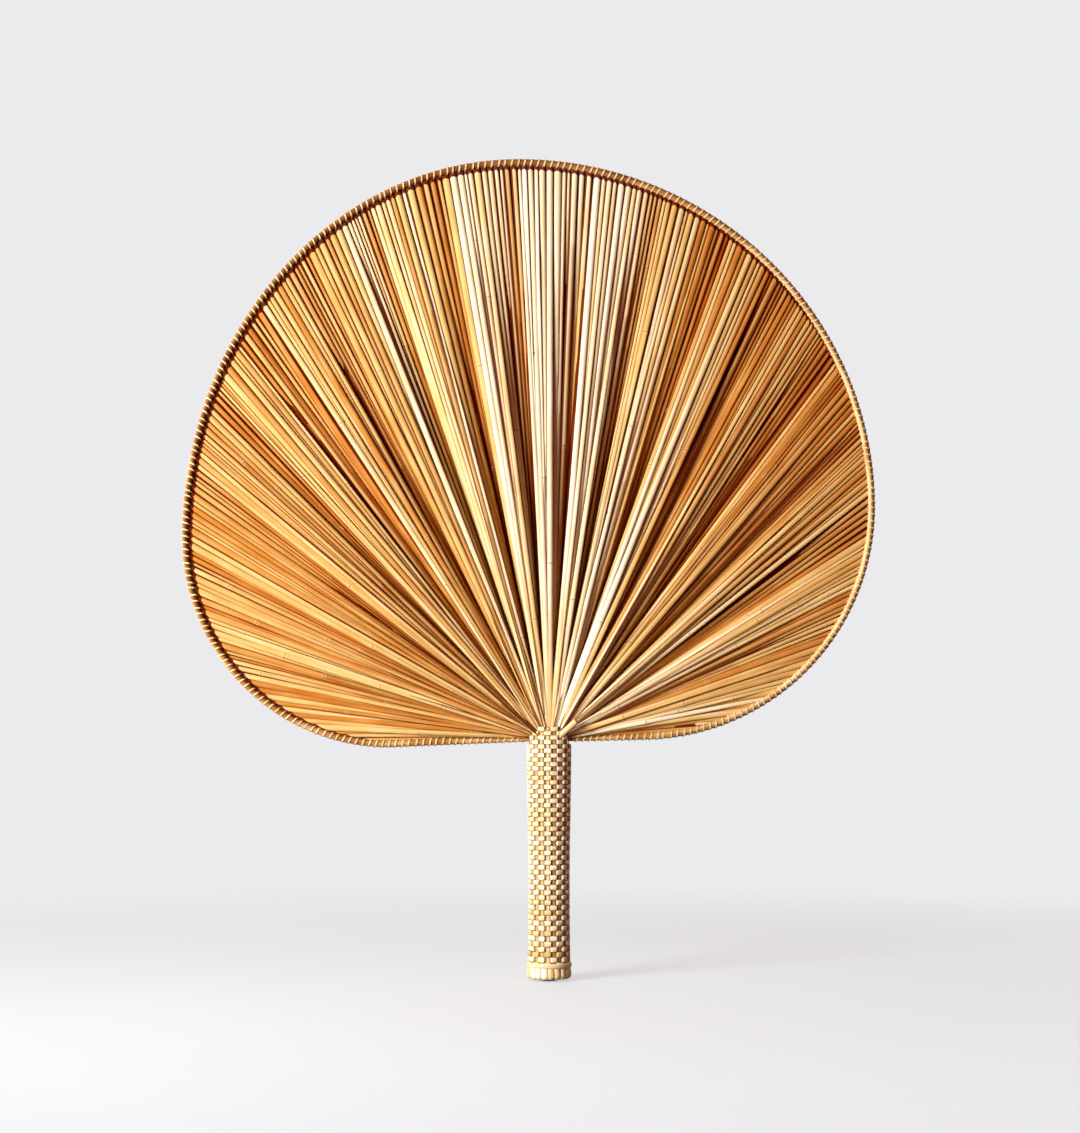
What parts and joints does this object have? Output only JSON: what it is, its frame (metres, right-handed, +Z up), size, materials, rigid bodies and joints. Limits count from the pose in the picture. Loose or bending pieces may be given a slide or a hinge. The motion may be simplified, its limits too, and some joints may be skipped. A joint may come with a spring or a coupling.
{
  "type": "straw hand fan",
  "caption": "Rigid hand fan: a wide round blade of pleated straw stalks held in a bound cane rim, on a short round woven handle.",
  "frame": {"origin": "middle of the flat end of the handle", "axes": "+Z up along the handle to the blade, +X to the right as seen from the front, the front faces -Y"},
  "size_m": [0.347, 0.023, 0.411],
  "materials": {
    "golden_straw": "glossy dry straw",
    "pale_straw": "split straw, satin",
    "bent_cane": "split cane, satin",
    "stick_wood": "bare dark wood",
    "twine": "natural fibre cord"
  },
  "bodies": {
    "root": {"straw_pleat_01": "golden_straw", "straw_pleat_02": "golden_straw", "straw_pleat_03": "golden_straw", "straw_pleat_04": "golden_straw", "straw_pleat_05": "golden_straw", "straw_pleat_06": "golden_straw", "straw_pleat_07": "golden_straw", "straw_pleat_08": "golden_straw", "straw_pleat_09": "golden_straw", "straw_pleat_10": "golden_straw", "straw_pleat_11": "golden_straw", "straw_pleat_12": "golden_straw", "straw_pleat_13": "golden_straw", "straw_pleat_14": "golden_straw", "straw_pleat_15": "golden_straw", "straw_pleat_16": "golden_straw", "straw_pleat_17": "golden_straw", "straw_pleat_18": "golden_straw", "rim_cane_front": "bent_cane", "rim_cane_back": "bent_cane", "rim_binding": "pale_straw", "core_stick": "stick_wood", "stem_bundle": "golden_straw", "neck_tie": "twine", "woven_sleeve": "pale_straw", "end_ring": "pale_straw", "end_cuff": "pale_straw"}
  },
  "joints": []
}
